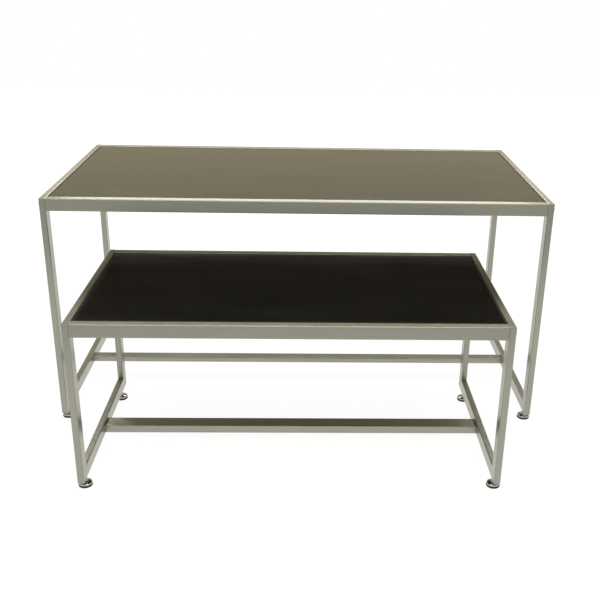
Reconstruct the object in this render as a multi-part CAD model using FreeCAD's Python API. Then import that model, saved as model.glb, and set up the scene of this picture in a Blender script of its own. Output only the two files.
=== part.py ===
import FreeCAD
import Part
import math
import os

# Two nesting display tables: a small low table that pulls out from under a large one.
# Each has two mitred end frames, bolted together by two long rails and a low stretcher,
# a dark top board dropped inside the frame, and four screw-in levelling feet.
# Millimetres. X runs to the right, Y to the back and Z up. The origin is on the floor,
# at the middle of the area that the two tables cover together.

# ---- overall sizes
large_width = 1524.0
large_depth = 762.0
large_height = 747.0
small_width = 1195.0
small_depth = 610.0
small_height = 521.0
small_pull = 400.0          # how far the small table's front stands before the large one's
small_shift = -17.0         # how far the small table stands to the side of the middle

# ---- tube of the end frames, and of the large table's low stretcher
end_thin = 19.05
end_wide = 38.1
# ---- tube of the long top rails
rail_thick = 25.4
rail_tall = 38.1
# ---- tube of the small table's low stretcher
stout_deep = 50.8
stout_tall = 25.4
# ---- all tubes
tube_wall = 1.5
tube_corner = 2.5

# ---- bolts through the end frames, and the threaded plugs that they pull on
bolt_radius = 3.0
bolt_reach = 20.0           # thread inside the plug
bolt_hole_clearance = 0.3
thread_clearance = 0.05
bolt_head_radius = 5.25
bolt_head_height = 3.3
bolt_head_round = 2.2
bolt_socket_flats = 4.0
bolt_socket_depth = 2.0
plug_length = 30.0
plug_clearance = 0.05

# ---- top board and the ledges under it
board_thick = 12.0
board_drop = 1.0            # how far its top lies below the frame's top
board_gap = 1.0             # gap between its edge and the frame
board_edge = 0.6            # bevel round its top
ledge_width = 15.0
ledge_gauge = 2.0
ledge_end_gap = 1.0
screw_radius = 2.0
screw_bite = 9.0            # length in the board
screw_hole_clearance = 0.2
screw_head_radius = 4.0
screw_head_height = 2.4
screw_line = 9.0            # from the rail to the row of screws
screws_per_long_ledge = 5
screws_per_end_ledge = 2

# ---- levelling feet
foot_height = 33.0          # floor to the underside of the end frames
foot_inset = 45.0           # from the front or rear face to the foot's axis
sole_radius = 20.0
sole_height = 7.0
sole_edge = 1.0
cup_radius = 19.0
cup_seat = 3.0              # underside of the cup above the floor
cup_rim = 9.0               # top of the cup's straight side
cup_shoulder_radius = 16.0  # where the cup's steep shoulder turns into its flat crown
cup_shoulder_height = 13.0
cup_height = 15.0
cup_neck_radius = 8.0
cup_round = 1.5             # fillet between the straight side and the shoulder
cup_fit = 0.05
stem_radius = 4.0
stem_reach = 25.0           # stem above the underside of the end frame
stem_spigot = 7.0           # length of the plain end in the cup
stem_tip_bevel = 1.0
stem_running_clearance = 0.06
collar_flats = 13.0
collar_height = 6.0
insert_radius = 5.5
insert_length = 15.0
insert_flange_radius = 7.0
insert_flange = 1.0
insert_fit = 0.05

near = 0.01                 # how closely an edge must lie along a line or at a height to be picked

V = FreeCAD.Vector
ALONG_X = V(1, 0, 0)
ALONG_Y = V(0, 1, 0)
ALONG_Z = V(0, 0, 1)


def rounded_bar(corner, size, axis, radius):
    """A bar whose four long edges, those along the axis, are rounded."""
    bar = Part.makeBox(size.x, size.y, size.z, corner)
    edges = [e for e in bar.Edges if e.tangentAt(e.FirstParameter).cross(axis).Length < near]
    return bar.makeFillet(radius, edges)


def tube(corner, size, axis):
    """An open-ended rectangular tube along the axis."""
    across = V(1, 1, 1) - axis
    outer = rounded_bar(corner, size, axis, tube_corner)
    bore_corner = corner + across * tube_wall
    bore_size = size - across * (2 * tube_wall)
    return outer.cut(rounded_bar(bore_corner, bore_size, axis, tube_corner - tube_wall))


def mitred(piece, outline):
    """The part of a tube inside an outline of (y, z) corners, which cuts its ends to 45 degrees."""
    box = piece.BoundBox
    corners = [V(box.XMin, y, z) for y, z in outline]
    face = Part.Face(Part.makePolygon(corners + corners[:1]))
    return piece.common(face.extrude(V(box.XLength, 0, 0)))


def turned(outline, x, y):
    """A solid turned about the vertical line through (x, y) from an outline of (radius, z)."""
    corners = [V(x + radius, y, z) for radius, z in outline]
    face = Part.Face(Part.makePolygon(corners + corners[:1]))
    return face.revolve(V(x, y, 0), ALONG_Z, 360)


def hexagon(flats, height, centre, axis):
    """A hexagonal bar that starts at the centre point and runs along the axis."""
    radius = flats / math.sqrt(3)
    turns = [math.radians(60 * i) for i in range(6)]
    corners = [V(radius * math.cos(a), radius * math.sin(a), 0) for a in turns]
    bar = Part.Face(Part.makePolygon(corners + corners[:1])).extrude(V(0, 0, height))
    bar.Placement = FreeCAD.Placement(centre, FreeCAD.Rotation(ALONG_Z, axis))
    return bar


def end_frame(x, front, depth, height):
    """The front leg, rear leg, top rail and bottom rail of one end, before any hole."""
    rear = front + depth
    low = foot_height
    inner_front = front + end_wide
    inner_rear = rear - end_wide
    inner_low = low + end_wide
    inner_top = height - end_wide
    upright = V(end_thin, end_wide, height - low)
    level = V(end_thin, depth, end_wide)
    return {
        "front_leg": mitred(tube(V(x, front, low), upright, ALONG_Z),
                            [(front, low), (inner_front, inner_low),
                             (inner_front, inner_top), (front, height)]),
        "rear_leg": mitred(tube(V(x, inner_rear, low), upright, ALONG_Z),
                           [(rear, low), (inner_rear, inner_low),
                            (inner_rear, inner_top), (rear, height)]),
        "top_rail": mitred(tube(V(x, front, inner_top), level, ALONG_Y),
                           [(front, height), (inner_front, inner_top),
                            (inner_rear, inner_top), (rear, height)]),
        "bottom_rail": mitred(tube(V(x, front, low), level, ALONG_Y),
                              [(front, low), (inner_front, inner_low),
                               (inner_rear, inner_low), (rear, low)]),
    }


def plug(corner, size, side):
    """The threaded block that fills one end of a long member; side is -1 or 1 along X."""
    inset = V(0, 1, 1) * (tube_wall + plug_clearance)
    block = V(plug_length, size.y - 2 * inset.y, size.z - 2 * inset.z)
    start = corner + inset
    if side > 0:
        start.x = corner.x + size.x - plug_length
    bore_start = V(start.x, start.y + block.y / 2, start.z + block.z / 2)
    bore = Part.makeCylinder(bolt_radius + thread_clearance, plug_length, bore_start, ALONG_X)
    return rounded_bar(start, block, ALONG_X, tube_corner - tube_wall).cut(bore)


def frame_bolt(x, y, z, side):
    """A button-head bolt whose head lies on the outer face at x and whose shank runs inwards."""
    inwards = V(-side, 0, 0)
    seat = V(x, y, z)
    head = Part.makeCylinder(bolt_head_radius, bolt_head_height, seat, inwards * -1)
    crown_x = x + side * bolt_head_height
    crown = [e for e in head.Edges if abs(e.BoundBox.Center.x - crown_x) < near]
    head = head.makeFillet(bolt_head_round, crown)
    socket = hexagon(bolt_socket_flats, bolt_socket_depth, V(crown_x, y, z), inwards)
    shank = Part.makeCylinder(bolt_radius, end_thin + bolt_reach, seat, inwards)
    return head.cut(socket).fuse(shank).removeSplitter()


def ledge(start, inwards, run):
    """An angle strip; start is the top corner against the rail, run is its length and way."""
    outline = [(0, 0), (ledge_width, 0), (ledge_width, ledge_gauge),
               (ledge_gauge, ledge_gauge), (ledge_gauge, ledge_width), (0, ledge_width)]
    corners = [start + inwards * across - ALONG_Z * down for across, down in outline]
    return Part.Face(Part.makePolygon(corners + corners[:1])).extrude(run)


def spaced(start, run, count):
    """Points spread evenly along a run, half a space in from its ends."""
    return [start + run * ((i + 0.5) / count) for i in range(count)]


def foot(x, y):
    """The stem, cup, sole and threaded insert of one levelling foot at (x, y)."""
    sole = turned([(0, 0), (sole_radius - sole_edge, 0), (sole_radius, sole_edge),
                   (sole_radius, sole_height), (cup_radius + cup_fit, sole_height),
                   (cup_radius + cup_fit, cup_seat), (0, cup_seat)], x, y)

    socket_floor = cup_height - stem_spigot - stem_running_clearance
    socket_radius = stem_radius + stem_running_clearance
    dome = turned([(0, cup_seat), (cup_radius, cup_seat), (cup_radius, cup_rim),
                   (cup_shoulder_radius, cup_shoulder_height),
                   (cup_neck_radius, cup_height), (0, cup_height)], x, y)
    rim = [e for e in dome.Edges if abs(e.BoundBox.ZMin - cup_rim) < near
           and abs(e.BoundBox.ZMax - cup_rim) < near]
    dome = dome.makeFillet(cup_round, rim)
    socket = Part.makeCylinder(socket_radius, cup_height, V(x, y, socket_floor), ALONG_Z)
    cup = dome.cut(socket)

    collar_low = cup_height + stem_running_clearance
    tip = foot_height + stem_reach
    rod = turned([(0, cup_height - stem_spigot), (stem_radius, cup_height - stem_spigot),
                  (stem_radius, tip - stem_tip_bevel),
                  (stem_radius - stem_tip_bevel, tip), (0, tip)], x, y)
    collar = hexagon(collar_flats, collar_height, V(x, y, collar_low), ALONG_Z)
    stem = rod.fuse(collar).removeSplitter()

    bore = stem_radius + thread_clearance
    insert = turned([(bore, foot_height - insert_flange),
                     (insert_flange_radius, foot_height - insert_flange),
                     (insert_flange_radius, foot_height), (insert_radius, foot_height),
                     (insert_radius, foot_height + insert_length),
                     (bore, foot_height + insert_length)], x, y)
    return {"foot_stem": stem, "foot_cup": cup, "foot_sole": sole, "insert": insert}


def build_table(name, width, depth, height, middle, front, stretcher, lift):
    """Make and export every piece of one table.

    Middle is its centre line in X. Stretcher is the size of its low tube across and up, and
    lift is how far that tube lies above the underside of the end frames.
    """
    left = middle - width / 2
    right = middle + width / 2
    rear = front + depth
    clear_left = left + end_thin
    clear_right = right - end_thin
    clear_width = clear_right - clear_left
    pieces = {}

    # Long members between the end frames: two top rails and the stretcher laid flat.
    rail_size = V(clear_width, rail_thick, rail_tall)
    stretcher_deep, stretcher_tall = stretcher
    stretcher_front = front + (depth - stretcher_deep) / 2
    members = {
        "front_rail": (V(clear_left, front, height - rail_tall), rail_size),
        "rear_rail": (V(clear_left, rear - rail_thick, height - rail_tall), rail_size),
        "stretcher": (V(clear_left, stretcher_front, foot_height + lift),
                      V(clear_width, stretcher_deep, stretcher_tall)),
    }
    plugs = []
    bolts = []
    bolt_holes = []
    for member, (corner, size) in members.items():
        pieces[member] = tube(corner, size, ALONG_X)
        y = corner.y + size.y / 2
        z = corner.z + size.z / 2
        for side, outer_face in ((-1, left), (1, right)):
            plugs.append(plug(corner, size, side))
            bolts.append(frame_bolt(outer_face, y, z, side))
            hole_start = V(min(outer_face, outer_face - side * end_thin), y, z)
            bolt_holes.append(Part.makeCylinder(bolt_radius + bolt_hole_clearance, end_thin,
                                                hole_start, ALONG_X))
    pieces["end_plugs"] = Part.makeCompound(plugs)
    pieces["frame_bolts"] = Part.makeCompound(bolts)

    # Levelling feet, with one threaded insert each in the bottom rails.
    inserts = []
    insert_holes = []
    for end, foot_y in (("front", front + foot_inset), ("rear", rear - foot_inset)):
        for hand, foot_x in (("left", left + end_thin / 2), ("right", right - end_thin / 2)):
            parts = foot(foot_x, foot_y)
            inserts.append(parts.pop("insert"))
            insert_holes.append(Part.makeCylinder(insert_radius + insert_fit, insert_length,
                                                  V(foot_x, foot_y, foot_height), ALONG_Z))
            for piece, shape in parts.items():
                pieces[f"{end}_{hand}_{piece}"] = shape
    pieces["foot_inserts"] = Part.makeCompound(inserts)

    # End frames, drilled for the bolts and the inserts.
    holes = Part.makeCompound(bolt_holes + insert_holes)
    for hand, x in (("left", left), ("right", clear_right)):
        for piece, shape in end_frame(x, front, depth, height).items():
            pieces[f"{hand}_{piece}"] = shape.cut(holes)

    # Top board on its four ledges.
    board_top = height - board_drop
    seat = board_top - board_thick
    board_size = V(clear_width - 2 * board_gap,
                   depth - 2 * rail_thick - 2 * board_gap, board_thick)
    board_corner = V(clear_left + board_gap, front + rail_thick + board_gap, seat)
    board = Part.makeBox(board_size.x, board_size.y, board_size.z, board_corner)
    top_edges = [e for e in board.Edges if e.BoundBox.ZMin > board_top - near]
    board = board.makeChamfer(board_edge, top_edges)

    inner_front = front + rail_thick
    inner_rear = rear - rail_thick
    long_run = ALONG_X * (clear_width - 2 * ledge_end_gap)
    end_run = ALONG_Y * (inner_rear - inner_front - 2 * (ledge_width + ledge_end_gap))
    long_x = clear_left + ledge_end_gap
    end_y = inner_front + ledge_width + ledge_end_gap
    long_starts = [(V(long_x, inner_front, seat), ALONG_Y),
                   (V(long_x, inner_rear, seat), ALONG_Y * -1)]
    end_starts = [(V(clear_left, end_y, seat), ALONG_X),
                  (V(clear_right, end_y, seat), ALONG_X * -1)]
    long_ledges = [ledge(start, inwards, long_run) for start, inwards in long_starts]
    end_ledges = [ledge(start, inwards, end_run) for start, inwards in end_starts]

    screw_points = []
    for start, inwards in long_starts:
        screw_points += spaced(start + inwards * screw_line, long_run, screws_per_long_ledge)
    for start, inwards in end_starts:
        screw_points += spaced(start + inwards * screw_line, end_run, screws_per_end_ledge)
    screws = []
    ledge_holes = []
    pilot_holes = []
    for point in screw_points:
        under = point - ALONG_Z * ledge_gauge
        length = ledge_gauge + screw_bite
        head_low = under - ALONG_Z * screw_head_height
        head = Part.makeCylinder(screw_head_radius, screw_head_height, head_low, ALONG_Z)
        shank = Part.makeCylinder(screw_radius, length, under, ALONG_Z)
        screws.append(head.fuse(shank).removeSplitter())
        ledge_holes.append(Part.makeCylinder(screw_radius + screw_hole_clearance,
                                             ledge_gauge, under, ALONG_Z))
        pilot_holes.append(Part.makeCylinder(screw_radius + thread_clearance,
                                             screw_bite, point, ALONG_Z))
    ledge_drill = Part.makeCompound(ledge_holes)
    pieces["board"] = board.cut(Part.makeCompound(pilot_holes))
    pieces["long_ledges"] = Part.makeCompound([strip.cut(ledge_drill) for strip in long_ledges])
    pieces["end_ledges"] = Part.makeCompound([strip.cut(ledge_drill) for strip in end_ledges])
    pieces["board_screws"] = Part.makeCompound(screws)

    for piece, shape in pieces.items():
        shape.exportStep(f"parts/{name}_{piece}.step")
        print(f"{name}_{piece}: {len(shape.Solids)} solid(s), {shape.Volume:.0f} mm3")
    return len(pieces)


os.makedirs("parts", exist_ok=True)
covered_depth = large_depth + small_pull
small_front = -covered_depth / 2
large_front = small_front + small_pull

# The large stretcher lies at mid height of the end frames' bottom rails, and the small one
# flush with their underside.
total = build_table("large", large_width, large_depth, large_height, 0, large_front,
                    (end_wide, end_thin), (end_wide - end_thin) / 2)
total += build_table("small", small_width, small_depth, small_height, small_shift, small_front,
                     (stout_deep, stout_tall), 0)
print(f"{total} nodes")
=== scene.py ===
# %% [markdown]
# # A pair of nesting display tables
# A high table and a low one that is pulled out from under it. Both are shop furniture: a frame of
# brushed metal tube, a dark board dropped inside it, and levelling feet that are screwed in.
# The measured model is loaded first. It stays as it is: its tubes, boards and ledges get their
# finishes here, and the feet, bolts and screws are modelled again in finer detail, in the same
# places. Lengths are in metres, and the ones that a workshop gives in millimetres are times MM.

# %% Load the measured model
import math

import bpy
from mathutils import Matrix, Vector


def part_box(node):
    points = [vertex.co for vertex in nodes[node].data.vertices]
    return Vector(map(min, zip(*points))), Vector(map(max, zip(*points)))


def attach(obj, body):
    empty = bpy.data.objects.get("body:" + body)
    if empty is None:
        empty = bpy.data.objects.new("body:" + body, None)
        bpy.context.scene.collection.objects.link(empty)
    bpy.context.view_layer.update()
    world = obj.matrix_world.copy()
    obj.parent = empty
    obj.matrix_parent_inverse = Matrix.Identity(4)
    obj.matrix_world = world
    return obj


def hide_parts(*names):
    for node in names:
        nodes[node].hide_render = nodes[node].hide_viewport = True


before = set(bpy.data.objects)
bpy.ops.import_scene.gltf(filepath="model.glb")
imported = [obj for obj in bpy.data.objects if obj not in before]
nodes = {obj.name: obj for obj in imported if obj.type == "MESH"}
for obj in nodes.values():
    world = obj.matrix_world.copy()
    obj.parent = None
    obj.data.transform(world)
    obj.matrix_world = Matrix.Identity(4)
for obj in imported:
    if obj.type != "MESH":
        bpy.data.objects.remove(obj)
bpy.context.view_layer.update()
MM = 0.001
TABLES = ("large", "small")

# %% [markdown]
# ## Shader maths
# A finish is a small graph of nodes. Written out one link at a time it is hard to read. So one
# class wraps a socket and gives it the arithmetic operators, and another adds every other node
# by a single method. Sums of plain numbers are still worked out here, in Python.

# %% A socket that can be added and multiplied
class Value:
    """A number that a node gives. Sums and products of values add Math nodes to the tree."""

    def __init__(self, finish, socket):
        self.finish = finish
        self.socket = socket

    def math(self, operation, *others):
        return self.finish.node("Math", {"operation": operation}, dict(enumerate([self, *others])))

    def __add__(self, other):
        return self.math("ADD", other)

    def __sub__(self, other):
        return self.math("SUBTRACT", other)

    def __rsub__(self, other):
        return self.finish.node("Math", {"operation": "SUBTRACT"}, {0: other, 1: self})

    def __mul__(self, other):
        return self.math("MULTIPLY", other)

    __radd__ = __add__
    __rmul__ = __mul__

    def size(self):
        return self.math("ABSOLUTE")

    def smaller(self, other):
        return self.math("MINIMUM", other)

    def larger(self, other):
        return self.math("MAXIMUM", other)

    def step(self, low, high):
        """0 below low, 1 above high, and a smooth rise between them."""
        settings = {"interpolation_type": "SMOOTHSTEP"}
        inputs = {"Value": self, "From Min": low, "From Max": high}
        return self.finish.node("MapRange", settings, inputs)


# %% A finish, whose nodes are added by one method
class Finish:
    """One material, or the world."""

    def __init__(self, name, made=None):
        self.owner = made or bpy.data.materials.new(name)
        self.owner.use_nodes = True
        self.tree = self.owner.node_tree
        self.shader = self.tree.nodes.get("Principled BSDF")

    def node(self, kind, settings=None, inputs=None, output=0):
        made = self.tree.nodes.new("ShaderNode" + kind)
        for name, setting in (settings or {}).items():
            setattr(made, name, setting)
        for name, value in (inputs or {}).items():
            self.feed(made.inputs[name], value)
        return Value(self, made.outputs[output])

    def feed(self, socket, value):
        if isinstance(value, Value):
            self.tree.links.new(value.socket, socket)
        else:
            socket.default_value = value

    def surface(self, **inputs):
        """Feed the sockets of the shader, such as Base_Color or Roughness."""
        for name, value in inputs.items():
            self.feed(self.shader.inputs[name.replace("_", " ")], value)
        return self.owner

    def place(self):
        return self.node("TexCoord", output="Object")

    def parts(self, vector):
        """The X, Y and Z of a vector, as three values."""
        made = self.node("SeparateXYZ", None, {0: vector})
        return [Value(self, socket) for socket in made.socket.node.outputs]

    def vector(self, operation, first, second=(0.0, 0.0, 0.0)):
        return self.node("VectorMath", {"operation": operation}, {0: first, 1: second})

    def noise(self, scale, detail=2.0, output="Fac"):
        """Noise with so many bumps per metre along X, Y and Z."""
        inputs = {"Vector": self.vector("MULTIPLY", self.place(), scale), "Scale": 1.0,
                  "Detail": detail}
        return self.node("TexNoise", None, inputs, output=output)

    def blend(self, factor, first, second):
        """A colour between two others."""
        return self.node("Mix", {"data_type": "RGBA"}, {0: factor, 6: first, 7: second}, output=2)

    def bump(self, height, depth, strength=0.5):
        return self.node("Bump", None, {"Height": height, "Distance": depth, "Strength": strength})


def colour(red, green, blue):
    return (red, green, blue, 1.0)


def shaded(tint, share):
    """The same colour with so much of its light."""
    return colour(*[part * share for part in tint])


def even(count):
    """The same number along X, Y and Z."""
    return (count, count, count)


# %% [markdown]
# ## Brushed tube
# The tube is drawn, and then brushed along its length with a fine belt. The scratches are too fine
# to see one by one, but they tilt the surface to both sides of their own direction. So what the
# metal reflects is smeared across the grain and stays clear along it, which is what makes brushed
# metal look brushed. Here noise that is drawn out along the tube tilts the normal in the same way.
# It could be done with the shader's anisotropy, but tilted normals can also be baked.
#
# The rounded edges of the tube are rougher, and their colour is painted darker: a painted shade
# that dims the highlight they catch. They are found from the normal: it lies along an axis on
# every flat side, and between two on an edge.

# %% The grain of one direction of tube
SCRATCHES = (9000.0, 300.0)  # per metre, across the grain and along it
TILT = (0.36, 0.06)          # how far they tilt the normal, across the grain and along it
CALM_EDGE = 0.6              # how much of the tilt is lost on a rounded edge


def grained(across, lengthwise, along):
    """Three numbers for X, Y and Z, of which the one along the tube differs."""
    return [lengthwise if axis == along else across for axis in range(3)]


def grain_normal(made, along, edge):
    """The surface's normal, tilted by fine scratches that run along one axis."""
    noise = made.noise(grained(*SCRATCHES, along), detail=1.0, output="Color")
    lean = made.vector("MULTIPLY", made.vector("SUBTRACT", noise, even(0.5)),
                       grained(*TILT, along))
    lean = made.node("VectorMath", {"operation": "SCALE"},
                     {0: lean, "Scale": 1.0 - CALM_EDGE * edge})
    flat = made.node("NewGeometry", output="Normal")
    return made.vector("NORMALIZE", made.vector("ADD", flat, lean))


# How far the normal has left its axis where an edge starts, and where it counts in full.
EDGE = (0.02, 0.25)


def rounded_edge(made):
    """1 on the middle of a tube's rounded edge and 0 on its flat sides."""
    x, y, z = made.parts(made.node("NewGeometry", output="Normal"))
    straight = x.size().larger(y.size()).larger(z.size())
    return (1.0 - straight).step(*EDGE)


# %% [markdown]
# ## Dressed mitres
# The tubes of an end frame are mitred, welded and ground flush. The belt crosses the seam there,
# so a narrow band along each mitre is a little duller and warmer than the tube. In the plane of
# the end frame, the seam is where a point lies as far in from the side as from the end.
#
# The metal's own colour is a middle grey with a little yellow in it. The studio is pale on most
# sides and metal shows its surroundings, so a whiter metal would be lost against the card.

# %% The band along the welded seams of one table
SEAM = (0.6 * MM, 3.5 * MM)  # where the band starts to fade and where it ends


def mitre(made, table):
    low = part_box(f"{table}_left_front_leg")[0]
    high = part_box(f"{table}_left_rear_leg")[1]
    _, y, z = made.parts(made.place())
    from_side = (y - low[1]).smaller(high[1] - y)
    from_end = (z - low[2]).smaller(high[2] - z)
    return 1.0 - (from_side - from_end).size().step(*SEAM)


# %% Brushed metal
STEEL = (0.345, 0.343, 0.288)
WARM = (0.305, 0.292, 0.245)
STREAKS = (700.0, 6.0)  # faint streaks of tint per metre, across the grain and along it
STREAK_SHADE = 0.94     # the tint's share of light in a dark streak
# A rounded edge is painted darker: painted shade that dims the highlight it catches.
PAINTED_EDGE_SHADE = 0.72       # on a rounded edge
SEAM_SHADE = 0.86       # and along a welded seam
SATIN = 0.27            # roughness of a flat side, before the streaks and smudges
DULLER = 0.10           # what an edge or a seam adds to it


def brushed(name, axis, table=None):
    made = Finish(name)
    along = "XYZ".index(axis)
    streak = made.noise(grained(*STREAKS, along), detail=2.0)
    smudge = made.noise(even(9.0), detail=4.0)
    edge = rounded_edge(made)

    base = made.blend(streak.step(0.3, 0.7), shaded(STEEL, STREAK_SHADE), colour(*STEEL))
    base = made.blend(0.22 * smudge.step(0.45, 0.75), base, colour(*WARM))
    # Painted shade on the rounded edges, which dims their highlight.
    base = made.blend(0.8 * edge, base, shaded(STEEL, PAINTED_EDGE_SHADE))
    rough = SATIN + 0.04 * streak + 0.03 * smudge.step(0.4, 0.7) + DULLER * edge
    if table:
        seam = mitre(made, table)
        base = made.blend(0.45 * seam, base, shaded(WARM, SEAM_SHADE))
        rough = rough + DULLER * seam
    return made.surface(Metallic=1.0, Base_Color=base, Roughness=rough,
                        Normal=grain_normal(made, along, edge))


long_grain = brushed("brushed_rail", "X")
level_grain = {table: brushed(f"brushed_level_tube_{table}", "Y", table) for table in TABLES}
upright_grain = {table: brushed(f"brushed_leg_{table}", "Z", table) for table in TABLES}
print("brushed finishes:", 1 + len(level_grain) + len(upright_grain))

# %% [markdown]
# ## Boards
# The tops are boards with a nearly black satin laminate. Its gloss comes from a smooth lacquer
# over a very fine grain, so it reflects the room behind like dark water and has almost no colour
# of its own. The edge is closed with a matte black strip, which draws a dark line inside the
# bright frame. Underneath is a plain brown backing sheet. All three are one finish, and where
# each one shows is worked out from the corners of the board.
#
# A plain gloss looks like glass, so two kinds of noise break it up: broad clouds, and streaks
# along X that a wet cloth leaves. They change the colour by very little and the gloss by more.

# %% Laminate, edge strip and backing
EDGE_STRIP = (3.8 * MM, 4.8 * MM)  # in from the rim, where the strip ends and the gloss begins
BACKING = (0.2 * MM, 0.6 * MM)     # up from below, where the backing ends and the rim begins
CLOUDS = (4.0, 6.5, 4.0)           # broad clouds, per metre along X, Y and Z
WIPED = (2.6, 21.0, 2.6)           # streaks from a wet cloth, which run along X
PORES = (260.0, 1900.0, 900.0)     # the fine grain under the lacquer
FIBRE = (60.0, 420.0, 200.0)       # and that of the backing
STRIP_BLACK = colour(0.010, 0.008, 0.006)
BROWN = (colour(0.022, 0.017, 0.012), colour(0.045, 0.034, 0.024))
STRIP_ROUGH = 0.75
BACKING_ROUGH = 0.8
MIRRORED = 0.33  # a soft lacquer mirrors less than the usual 0.5


def laminate(name, node, tint, clean, dusty):
    """A board's finish: clean and dusty are shares of the tint's light."""
    made = Finish(name)
    low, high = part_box(node)
    x, y, z = made.parts(made.place())
    inset = (x - low[0]).smaller(high[0] - x).smaller((y - low[1]).smaller(high[1] - y))
    face = inset.step(*EDGE_STRIP)
    under = 1.0 - (z - low[2]).step(*BACKING)

    cloud = made.noise(CLOUDS, detail=5.0)
    wiped = made.noise(WIPED, detail=6.0)
    pores = made.noise(PORES, detail=2.0)
    fibre = made.noise(FIBRE, detail=4.0)
    film = 0.65 * cloud.step(0.3, 0.7) + 0.35 * wiped.step(0.4, 0.7)
    base = made.blend(film, shaded(tint, clean), shaded(tint, dusty))
    base = made.blend(face, STRIP_BLACK, base)
    base = made.blend(under, base, made.blend(fibre, *BROWN))
    gloss = 0.06 + 0.03 * cloud + 0.05 * wiped.step(0.35, 0.75) + 0.015 * pores
    rough = gloss * face + STRIP_ROUGH * (1.0 - face)
    rough = rough * (1.0 - under) + BACKING_ROUGH * under
    return made.surface(Base_Color=base, Roughness=rough, Specular_IOR_Level=MIRRORED,
                        Normal=made.bump(pores, 0.02 * MM, 0.35))


# The tint of each board, and its share of light where it is clean and where it is dusty.
BOARD_LOOK = {"large": ((0.0070, 0.0060, 0.0046), 0.4, 1.7),
              "small": ((0.0075, 0.0068, 0.0053), 0.8, 1.25)}
board_finish = {table: laminate(f"dark_laminate_{table}", f"{table}_board", *BOARD_LOOK[table])
                for table in TABLES}
print("board finishes:", ", ".join(m.name for m in board_finish.values()))

# %% [markdown]
# ## Small parts
# Four more finishes. The bolts, stems, inserts and screws are zinc plated: grey, with a faint
# cloudy bloom. The cups of the feet are polished chrome, with only a trace of haze. The soles are
# black rubber, dusty in places. The ledges under the boards are strip steel with silver paint,
# which dries with a slight ripple.

# %% Zinc, chrome, rubber and paint
def zinc_finish():
    made = Finish("zinc_plate")
    bloom = made.noise(even(260.0), detail=3.0)
    fine = made.noise(even(2500.0), detail=1.0)
    base = made.blend(bloom.step(0.35, 0.7), colour(0.52, 0.515, 0.50), colour(0.68, 0.675, 0.65))
    rough = 0.24 + 0.12 * bloom
    return made.surface(Metallic=1.0, Base_Color=base, Roughness=rough,
                        Normal=made.bump(fine, 0.01 * MM))


def chrome_finish():
    made = Finish("polished_chrome")
    haze = made.noise(even(90.0), detail=4.0)
    base = made.blend(haze, colour(0.44, 0.44, 0.435), colour(0.52, 0.52, 0.51))
    return made.surface(Metallic=1.0, Base_Color=base, Roughness=0.04 + 0.06 * haze.step(0.5, 0.8))


def rubber_finish():
    made = Finish("black_rubber")
    dust = made.noise(even(140.0), detail=4.0)
    fine = made.noise(even(1800.0), detail=2.0)
    base = made.blend(dust.step(0.45, 0.8), colour(0.010, 0.010, 0.0095),
                      colour(0.035, 0.033, 0.030))
    return made.surface(Base_Color=base, Roughness=0.5 + 0.25 * dust,
                        Normal=made.bump(fine, 0.03 * MM))


def silver_paint():
    made = Finish("silver_paint")
    ripple = made.noise(even(420.0), detail=1.0)
    cloud = made.noise(even(12.0), detail=3.0)
    base = made.blend(cloud, colour(0.30, 0.295, 0.275), colour(0.38, 0.375, 0.35))
    return made.surface(Base_Color=base, Roughness=0.42 + 0.12 * cloud, Metallic=0.35,
                        Normal=made.bump(ripple, 0.04 * MM))


zinc = zinc_finish()
chrome = chrome_finish()
rubber = rubber_finish()
paint = silver_paint()

# %% [markdown]
# ## Finishes on the measured parts
# Every part of the measured model is named after what it is, so its finish follows from its name.
# The grain of a tube runs along it: rails and stretchers along X, the top and bottom of an end
# frame along Y, and legs along Z.

# %% Give each part its finish
def finish_of(name):
    table = name.split("_")[0]
    if name.endswith(("front_rail", "rear_rail", "stretcher")):
        return long_grain
    if name.endswith(("top_rail", "bottom_rail")):
        return level_grain[table]
    if name.endswith("leg"):
        return upright_grain[table]
    if name.endswith("board"):
        return board_finish[table]
    if name.endswith("ledges"):
        return paint
    if name.endswith("cup"):
        return chrome
    if name.endswith("sole"):
        return rubber
    return zinc


for name, piece in nodes.items():
    piece.data.materials.clear()
    piece.data.materials.append(finish_of(name))
print("finished", len(nodes), "measured parts")

# %% [markdown]
# ## Turned pieces
# Cups, soles, bolts and screws are all turned on a lathe. In the same way their outline is drawn
# here on one side of the axis, point by point, by extruding a single vertex. Then it is spun
# round the Z axis. The first and last outline meet and are merged, and so are the points on the
# axis, so the piece is closed.

# %% Draw an outline and spin it
MERGE = 0.002 * MM         # points that are closer than this become one
SPUN = math.radians(32)    # turned pieces are shaded smooth across edges flatter than this
CRISP = math.radians(30)   # and pieces with a thread or a cut across edges flatter than this


def select_only(*pieces):
    bpy.ops.object.select_all(action="DESELECT")
    for piece in pieces:
        piece.select_set(True)
    bpy.context.view_layer.objects.active = pieces[0]


def drawn(name, outline):
    """A chain of edges through points of (radius, height) in millimetres."""
    bpy.ops.object.select_all(action="DESELECT")
    bpy.ops.mesh.primitive_plane_add(size=MM, location=(0.0, 0.0, 0.0))
    piece = bpy.context.object
    piece.name = name
    bpy.ops.object.mode_set(mode="EDIT")
    bpy.ops.mesh.select_all(action="SELECT")
    bpy.ops.mesh.merge(type="CENTER")
    radius, height = outline[0]
    bpy.ops.transform.translate(value=(radius * MM, 0.0, height * MM))
    for (r0, z0), (r1, z1) in zip(outline, outline[1:]):
        move = {"value": ((r1 - r0) * MM, 0.0, (z1 - z0) * MM)}
        bpy.ops.mesh.extrude_region_move(TRANSFORM_OT_translate=move)
    return piece


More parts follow.
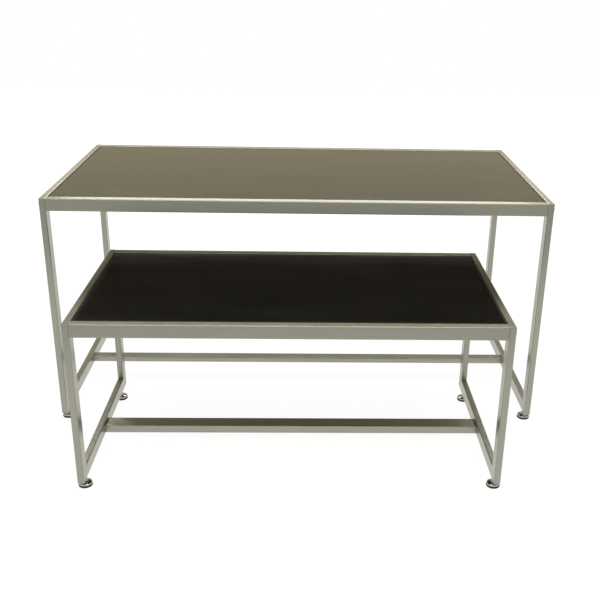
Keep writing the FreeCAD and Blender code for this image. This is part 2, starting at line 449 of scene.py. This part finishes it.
def turned(name, outline, steps=48):
    """A closed piece spun from an outline round the Z axis."""
    piece = drawn(name, outline)
    bpy.ops.mesh.select_all(action="SELECT")
    bpy.ops.mesh.spin(steps=steps, angle=2 * math.pi, center=(0, 0, 0), axis=(0, 0, 1))
    bpy.ops.mesh.select_all(action="SELECT")
    bpy.ops.mesh.remove_doubles(threshold=MERGE)
    bpy.ops.mesh.normals_make_consistent(inside=False)
    bpy.ops.object.mode_set(mode="OBJECT")
    select_only(piece)
    bpy.ops.object.shade_smooth_by_angle(angle=SPUN)
    return piece


def arc(centre, radius, start, end, count):
    """Points on an arc in the outline's plane, from one angle to another, in degrees."""
    angles = [math.radians(start + (end - start) * i / count) for i in range(count + 1)]
    return [(centre[0] + radius * math.cos(a), centre[1] + radius * math.sin(a)) for a in angles]


# %% [markdown]
# Some cuts are not round, such as the hexagon socket of a bolt. They are made with a Boolean
# modifier, as a punch makes them, and the modifier is applied.

# %% Cut a piece with another
def shaped_by(piece, tool, operation):
    """Apply a Boolean with a tool piece, which is then thrown away."""
    select_only(piece)
    cut = piece.modifiers.new("cut", "BOOLEAN")
    cut.operation = operation
    cut.solver = "EXACT"
    cut.object = tool
    bpy.ops.object.modifier_apply(modifier=cut.name)
    bpy.data.objects.remove(tool)
    return piece


def hexagon_bar(flats, low, high):
    """A hexagonal bar on the Z axis with two corners on the X axis, in millimetres."""
    bpy.ops.object.select_all(action="DESELECT")
    bpy.ops.mesh.primitive_cylinder_add(vertices=6, radius=flats / math.sqrt(3) * MM,
                                        depth=(high - low) * MM, rotation=(0, 0, math.pi / 6),
                                        location=(0, 0, (low + high) / 2 * MM))
    bar = bpy.context.object
    bpy.ops.object.transform_apply(location=True, rotation=True, scale=True)
    return bar


def joined(name, *pieces):
    select_only(*pieces)
    bpy.ops.object.join()
    whole = bpy.context.object
    whole.name = name
    return whole


# %% [markdown]
# What repeats is modelled once, on the Z axis, and copied to each of its places. Each copy has a
# mesh of its own, with its place in the mesh and its object at the origin, as every part of the
# measured model has.

# %% Copy a piece to a place
def copy_to(master, name, place, turn=(0.0, 0.0, 0.0)):
    select_only(master)
    bpy.ops.object.duplicate(linked=False)
    piece = bpy.context.object
    piece.name = name
    piece.location = place
    piece.rotation_euler = turn
    bpy.ops.object.transform_apply(location=True, rotation=True, scale=True)
    return piece


# %% [markdown]
# ## The rubber sole
# Each foot stands on a round rubber sole that is moulded on to the cup. It has two fine grooves
# round its side, and rings underneath that grip the floor. Its rim comes up round the cup.

# %% Turn the sole
SOLE = [(0.0, 0.5), (3.6, 0.5), (4.0, 0.0), (7.0, 0.0), (7.4, 0.6), (9.2, 0.6), (9.6, 0.0),
        (12.4, 0.0), (12.8, 0.6), (14.4, 0.6), (14.8, 0.0), (18.2, 0.0), (19.3, 0.4),
        (19.85, 1.2), (20.0, 2.2), (20.0, 2.9), (19.55, 3.1), (19.55, 3.35), (20.0, 3.55),
        (20.0, 4.4), (19.55, 4.6), (19.55, 4.85), (19.95, 5.05), (19.9, 5.9), (19.7, 6.6),
        (19.4, 6.95), (19.1, 7.0), (19.05, 6.8), (19.05, 3.0), (0.0, 3.0)]

sole = turned("sole", SOLE)
sole.data.materials.append(rubber)
print("sole:", len(sole.data.polygons), "faces")

# %% [markdown]
# ## The chromed cup
# A cup of polished steel sits in the sole and holds the ball end of the stem. It has a short
# straight side, a round shoulder and a nearly flat crown, with a small lip round the hole that
# the stem comes out of. The lip and the shoulder catch the light, so their arcs get many points.

# %% Turn the cup
CUP = ([(0.0, 3.05), (18.6, 3.05), (19.0, 3.5), (19.0, 8.6)]
       + arc((15.4, 8.9), 3.6, 0, 62, 8)[1:]
       + [(15.6, 12.55), (13.8, 13.15), (11.6, 13.75), (9.4, 14.2), (8.0, 14.45)]
       + arc((6.6, 13.9), 1.1, 75, 180, 6)
       + [(4.06, 13.2), (4.06, 7.94), (0.0, 7.94)])

cup = turned("cup", CUP, steps=64)
cup.data.materials.append(chrome)
print("cup:", len(cup.data.polygons), "faces")

# %% [markdown]
# ## The threaded stem
# A stem screws each foot up and down in the frame. It carries a real thread: one tooth is drawn
# as an open outline one pitch tall, and the Screw modifier winds it up the axis, so that the top
# of each turn meets the foot of the next. The thread is right-handed, so it rises as it turns
# counterclockwise seen from above, and it stays in step with the turning stem at every height.

# %% Wind the thread
PITCH = 1.25
TOOTH = [(3.32, 0.0), (3.98, 0.50), (3.98, 0.70), (3.32, PITCH)]
THREAD_FOOT = 20.8
THREAD_TIP = 57.9
TURN_STEPS = 24   # flat sides in one turn
SPARE_TURNS = 2   # wound beyond both ends, and cut off again


def cut_flat(height, upwards):
    """Cut a mesh in edit mode at a height, close the cut and drop what lies beyond it."""
    bpy.ops.mesh.select_all(action="SELECT")
    bpy.ops.mesh.bisect(plane_co=(0, 0, height * MM), plane_no=(0, 0, 1), use_fill=True,
                        clear_outer=upwards, clear_inner=not upwards)


def thread():
    piece = drawn("thread", TOOTH)
    bpy.ops.object.mode_set(mode="OBJECT")
    select_only(piece)
    winding = piece.modifiers.new("winding", "SCREW")
    winding.axis = "Z"
    winding.angle = 2 * math.pi
    winding.screw_offset = PITCH * MM
    winding.iterations = math.ceil((THREAD_TIP - THREAD_FOOT) / PITCH) + SPARE_TURNS
    winding.steps = winding.render_steps = TURN_STEPS
    winding.use_merge_vertices = False
    bpy.ops.object.modifier_apply(modifier=winding.name)
    piece.location.z = (THREAD_FOOT - PITCH) * MM
    bpy.ops.object.transform_apply(location=True, rotation=False, scale=False)
    bpy.ops.object.mode_set(mode="EDIT")
    bpy.ops.mesh.select_all(action="SELECT")
    bpy.ops.mesh.remove_doubles(threshold=MERGE)
    cut_flat(THREAD_FOOT, upwards=False)
    cut_flat(THREAD_TIP, upwards=True)
    bpy.ops.mesh.select_all(action="SELECT")
    bpy.ops.mesh.normals_make_consistent(inside=False)
    bpy.ops.object.mode_set(mode="OBJECT")
    select_only(piece)
    bpy.ops.object.shade_smooth_by_angle(angle=CRISP)
    return piece


# %% [markdown]
# Below the thread is a hexagon collar for a spanner. Its corners are chamfered, as on a nut: a
# hexagonal bar is cut down to what lies inside a turned barrel. Under it is the plain spigot
# that turns in the cup.

# %% Stem with its collar and spigot
COLLAR = (13.0, 15.06, 21.06)  # across its flats, its foot and its top
BARREL = [(0.0, 15.06), (6.55, 15.06), (7.6, 15.7), (7.6, 20.42), (6.55, 21.06), (0.0, 21.06)]
SPIGOT = [(0.0, 8.0), (3.4, 8.0), (4.0, 8.6), (4.0, 15.2), (0.0, 15.2)]


def stem_with_collar():
    barrel = turned("barrel", BARREL, steps=64)
    collar = shaped_by(hexagon_bar(*COLLAR), barrel, "INTERSECT")
    spigot = turned("spigot", SPIGOT)
    whole = joined("stem", thread(), collar, spigot)
    whole.data.materials.clear()
    whole.data.materials.append(zinc)
    bpy.ops.object.shade_smooth_by_angle(angle=CRISP)
    return whole


stem = stem_with_collar()
print("stem:", len(stem.data.polygons), "faces, tip at", round(max(
    v.co.z for v in stem.data.vertices) / MM, 2), "mm")

# %% [markdown]
# ## Place the feet
# The feet stand under the end frames, in from the corners. The cup and the sole move up and down
# with the foot's height. The stem rides on a body of its own, because it also turns.

# %% A foot at each corner of each table
def corner_names():
    return [f"{table}_{end}_{hand}" for table in TABLES for end in ("front", "rear")
            for hand in ("left", "right")]


for corner in corner_names():
    low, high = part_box(corner + "_foot_cup")
    spot = ((low[0] + high[0]) / 2, (low[1] + high[1]) / 2, 0.0)
    for master, body, slot in ((sole, "foot", "foot_rubber"), (cup, "foot", "foot_chrome"),
                               (stem, "stem", "bolt_steel")):
        piece = copy_to(master, f"{corner}_{master.name}", spot)
        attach(piece, f"{corner}_{body}")
        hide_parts(f"{corner}_foot_{master.name}")
print("feet:", len(corner_names()))

# %% [markdown]
# ## Frame bolts
# Button-head bolts go through the end frames into the ends of the rails and the stretcher. The
# head is a low dome with a flat crown, and its hexagon socket has a small countersink.

# %% Button-head bolt
BOLT = ([(0.0, -39.0), (2.4, -39.0), (3.0, -38.4), (3.0, 0.0), (5.25, 0.0), (5.25, 1.1)]
        + arc((3.05, 1.1), 2.2, 0, 90, 8)[1:]
        + [(2.6, 3.3), (2.3, 3.05), (0.0, 3.05)])
SOCKET = (4.0, 1.3, 3.6)  # across its flats, its floor, and a height above the crown


def button_bolt():
    bolt = shaped_by(turned("bolt", BOLT), hexagon_bar(*SOCKET), "DIFFERENCE")
    bolt.data.materials.clear()
    bolt.data.materials.append(zinc)
    bpy.ops.object.shade_smooth_by_angle(angle=CRISP)
    return bolt


bolt = button_bolt()
print("bolt:", len(bolt.data.polygons), "faces")

# %% Six bolts on each table, pointing in from both ends
def set_bolts(table):
    left_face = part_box(f"{table}_left_front_leg")[0][0]
    right_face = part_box(f"{table}_right_front_leg")[1][0]
    bolts = []
    for member in ("front_rail", "rear_rail", "stretcher"):
        low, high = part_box(f"{table}_{member}")
        middle = ((low[1] + high[1]) / 2, (low[2] + high[2]) / 2)
        for side, face in ((-1, left_face), (1, right_face)):
            bolts.append(copy_to(bolt, "bolt_copy", (face, *middle), (0, side * math.pi / 2, 0)))
    return joined(f"{table}_button_bolts", *bolts)


for table in TABLES:
    piece = set_bolts(table)
    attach(piece, f"{table}_table")
    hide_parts(f"{table}_frame_bolts")
    print(piece.name, len(piece.data.polygons), "faces")

# %% [markdown]
# ## Board screws
# Each board is held from below by screws through its ledges. They have low pan heads with a cross
# recess and a pointed tip. The cross is a small cube whose four sides are pulled out, and it is
# cut out of the head.

# %% Pan-head screw
SCREW = ([(0.0, -2.4), (1.2, -2.4)] + arc((1.6, -0.2), 2.4, -78, -12, 6)
         + [(4.0, -0.3), (4.0, 0.0), (2.0, 0.0), (2.0, 8.6), (0.0, 11.0)])
CROSS = (0.9, 1.9, -3.0, -1.2)  # width and reach of an arm, a height below the head, its floor
SIDEWAYS = 0.5                  # a face whose normal has less Z than this is a side


def cross_bar(width, reach, low, high):
    """A bar with a cross for its outline, on the Z axis, in millimetres."""
    bpy.ops.object.select_all(action="DESELECT")
    bpy.ops.mesh.primitive_cube_add(size=width * MM, location=(0.0, 0.0, (low + high) / 2 * MM),
                                    scale=(1.0, 1.0, (high - low) / width))
    bar = bpy.context.object
    bpy.ops.object.transform_apply(location=True, rotation=False, scale=True)
    bpy.ops.object.mode_set(mode="EDIT")
    bpy.ops.mesh.select_all(action="DESELECT")
    bpy.ops.mesh.select_mode(type="FACE")
    bpy.ops.object.mode_set(mode="OBJECT")
    for face in bar.data.polygons:
        face.select = abs(face.normal.z) < SIDEWAYS
    bpy.ops.object.mode_set(mode="EDIT")
    bpy.ops.mesh.extrude_faces_move(TRANSFORM_OT_shrink_fatten={"value": (reach - width / 2) * MM})
    bpy.ops.mesh.select_mode(type="VERT")
    bpy.ops.object.mode_set(mode="OBJECT")
    return bar


def pan_screw():
    screw = turned("screw", SCREW, steps=32)
    screw = shaped_by(screw, cross_bar(*CROSS), "DIFFERENCE")
    screw.data.materials.clear()
    screw.data.materials.append(zinc)
    bpy.ops.object.shade_smooth_by_angle(angle=CRISP)
    return screw


screw = pan_screw()
print("screw:", len(screw.data.polygons), "faces")

# %% Screws along the ledges
SCREW_LINE = 9.0 * MM  # from the outer side of a ledge to its row of screws
LEDGE_SHEET = 2.0 * MM
LONG_ROW = 5
END_ROW = 2


def spaced(low, high, count):
    """Places spread evenly from low to high, half a space in from both ends."""
    return [low + (high - low) * (i + 0.5) / count for i in range(count)]


def set_screws(table):
    long_low, long_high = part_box(f"{table}_long_ledges")
    end_low, end_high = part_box(f"{table}_end_ledges")
    under = long_high[2] - LEDGE_SHEET
    places = [(x, y) for y in (long_low[1] + SCREW_LINE, long_high[1] - SCREW_LINE)
              for x in spaced(long_low[0], long_high[0], LONG_ROW)]
    places += [(x, y) for x in (end_low[0] + SCREW_LINE, end_high[0] - SCREW_LINE)
               for y in spaced(end_low[1], end_high[1], END_ROW)]
    screws = [copy_to(screw, "screw_copy", (x, y, under), (0, 0, turn))
              for turn, (x, y) in enumerate(places)]
    return joined(f"{table}_pan_screws", *screws)


for table in TABLES:
    piece = set_screws(table)
    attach(piece, f"{table}_table")
    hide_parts(f"{table}_board_screws")
    print(piece.name, len(piece.data.polygons), "faces")

for master in (sole, cup, stem, bolt, screw):
    bpy.data.objects.remove(master)

# %% [markdown]
# ## The studio
# Brushed metal looks like what stands round it, so the studio matters as much as the finish. The
# floor is white card. A Light Path node gives it a glow for the camera, and the same glow for
# whatever the metal mirrors, so both see one white floor. Under the glow the card keeps a little
# of its own colour, and that part takes the shadows of the tables. In front of the tables the card
# is greyer, for the camera too, which gives the fronts of the rails their darker tone.
#
# Round the floor is a pale warm wall and above it a dimmer ceiling. They need no Light Path: they
# are simply that colour. The card has one side only, so the tables can also be looked at from
# below.

# %% The floor
WHITE = colour(1, 1, 1)
CARD = colour(0.80, 0.79, 0.76)
UNDER_GLOW = colour(0.12, 0.12, 0.12)  # what is left of the card's colour to take the shadows
GLOW = 0.945
FAR_GLOW = 0.10            # added further out, where the lamps light the card less
FURTHER_OUT = (1.0, 2.6)   # from the middle of the floor
GREY = 0.38                # share of the glow on the grey part
GREY_PART = (-2.6, -1.05)  # along Y: grey in front of the first, white behind the second
RIM = (3.6, 6.6)           # from the middle: towards its rim, the floor is white again


def floor_finish():
    """White card that cameras, metal and glass see alike, with the shadows of the tables on it."""
    made = Finish("white_card")
    seen = made.node("LightPath", output="Is Camera Ray").larger(
        made.node("LightPath", output="Is Glossy Ray")).larger(
        made.node("LightPath", output="Is Transmission Ray"))
    _, y, _ = made.parts(made.place())
    away = made.node("VectorMath", {"operation": "LENGTH"}, {0: made.place()}, output="Value")
    white = GREY + (1.0 - GREY) * y.step(*GREY_PART).larger(away.step(*RIM))
    glow = seen * white * (GLOW + FAR_GLOW * away.step(*FURTHER_OUT))
    made.surface(Base_Color=made.blend(seen, CARD, UNDER_GLOW), Roughness=0.9,
                 Specular_IOR_Level=0.0, Emission_Color=WHITE, Emission_Strength=glow)
    clear = made.node("BsdfTransparent")
    below = made.node("NewGeometry", output="Backfacing")
    sides = made.node("MixShader", None,
                      {0: below, 1: Value(made, made.shader.outputs[0]), 2: clear})
    made.feed(made.tree.nodes["Material Output"].inputs["Surface"], sides)
    return made.owner


def lay_floor(width):
    bpy.ops.object.select_all(action="DESELECT")
    bpy.ops.mesh.primitive_plane_add(size=width, location=(0.0, 0.0, -0.5 * MM))
    floor = bpy.context.object
    floor.name = "floor"
    bpy.ops.object.transform_apply(location=True, rotation=False, scale=False)
    floor.data.materials.append(floor_finish())


lay_floor(14.0)

# %% The room
WALL = colour(0.72, 0.635, 0.44)
CEILING = (colour(0.09, 0.08, 0.065), colour(0.30, 0.28, 0.23))  # over the tables and at the sides
CEILING_SIDES = (0.04, 0.25)  # how far sideways the first turns into the second
HORIZON = (-0.03, 0.05)       # how far up: white below the first, wall above the second
WALL_TOP = (0.28, 0.42)       # and where the wall turns into the ceiling


def room():
    made = Finish("room", bpy.data.worlds.new("room"))
    x, _, z = made.parts(made.node("TexCoord", output="Generated"))
    ceiling = made.blend(x.size().step(*CEILING_SIDES), *CEILING)
    seen = made.blend(z.step(*HORIZON), WHITE, WALL)
    seen = made.blend(z.step(*WALL_TOP), seen, ceiling)
    made.feed(made.tree.nodes["Background"].inputs["Color"], seen)
    bpy.context.scene.world = made.owner


room()

# %% [markdown]
# Three soft lamps light the tables. The one in front hangs over the camera and lights the boards
# and the floor before them. The large one behind is high up and lights the tubes' tops. A long
# low strip, also behind, draws the bright line along the front of the high table, and that table
# hides it from the low one.

# %% Lamps
LAMP_TINT = (0.985, 1.0, 0.935)


def soft_lamp(name, width, depth, place, target, watts):
    data = bpy.data.lights.new(name, "AREA")
    data.shape = "RECTANGLE"
    data.size = width
    data.size_y = depth
    data.energy = watts
    data.color = LAMP_TINT
    lamp = bpy.data.objects.new(name, data)
    bpy.context.scene.collection.objects.link(lamp)
    lamp.location = place
    aim = Vector(target) - Vector(place)
    lamp.rotation_euler = aim.to_track_quat("-Z", "Y").to_euler()


soft_lamp("front", width=2.6, depth=1.4, place=(0.0, -1.6, 2.2), target=(0.0, -0.5, 0.3),
          watts=48.0)
soft_lamp("rear", width=5.0, depth=1.3, place=(0.0, 2.9, 4.0), target=(0.0, 0.0, 0.75),
          watts=100.0)
soft_lamp("strip", width=2.2, depth=0.26, place=(0.0, 1.2, 1.39), target=(0.0, -0.18, 0.75),
          watts=9.5)
print("lamps:", len(bpy.data.lights))

# %% [markdown]
# ## The camera
# The camera stands in front at eye height, looks down on the tables and leans a little. It is
# placed from three angles, and its lens is given as the distance in picture points at which the
# picture would hang before the eye. The picture is cut a little off the lens's middle, which the
# shift gives.

# %% Place the camera
PICTURE = 600.0             # width of the picture, in points
SENSOR = 36.0               # and of the camera's sensor, in millimetres
FOCAL_POINTS = 860.56
SHIFT = (-30.569, 4.618)    # of the picture, in points
EYE = (0.0174, -2.6452, 1.4274)
turn_right = math.radians(1.906)
look_down = math.radians(22.236)
lean = math.radians(1.167)

data = bpy.data.cameras.new("camera")
data.sensor_width = SENSOR
data.lens = SENSOR * FOCAL_POINTS / PICTURE
data.shift_x = SHIFT[0] / PICTURE
data.shift_y = SHIFT[1] / PICTURE
camera = bpy.data.objects.new("camera", data)
bpy.context.scene.collection.objects.link(camera)

level = math.cos(look_down)
forward = Vector((math.sin(turn_right) * level, math.cos(turn_right) * level,
                  -math.sin(look_down)))
level_right = Vector((math.cos(turn_right), -math.sin(turn_right), 0.0))
level_up = level_right.cross(forward)
right = level_right * math.cos(lean) + level_up * math.sin(lean)
up = level_up * math.cos(lean) - level_right * math.sin(lean)
facing = Matrix((right, up, -forward)).transposed()
camera.matrix_world = Matrix.Translation(EYE) @ facing.to_4x4()
bpy.context.scene.camera = camera
bpy.context.scene.view_settings.view_transform = "Standard"
print("lens:", round(data.lens, 2), "mm")
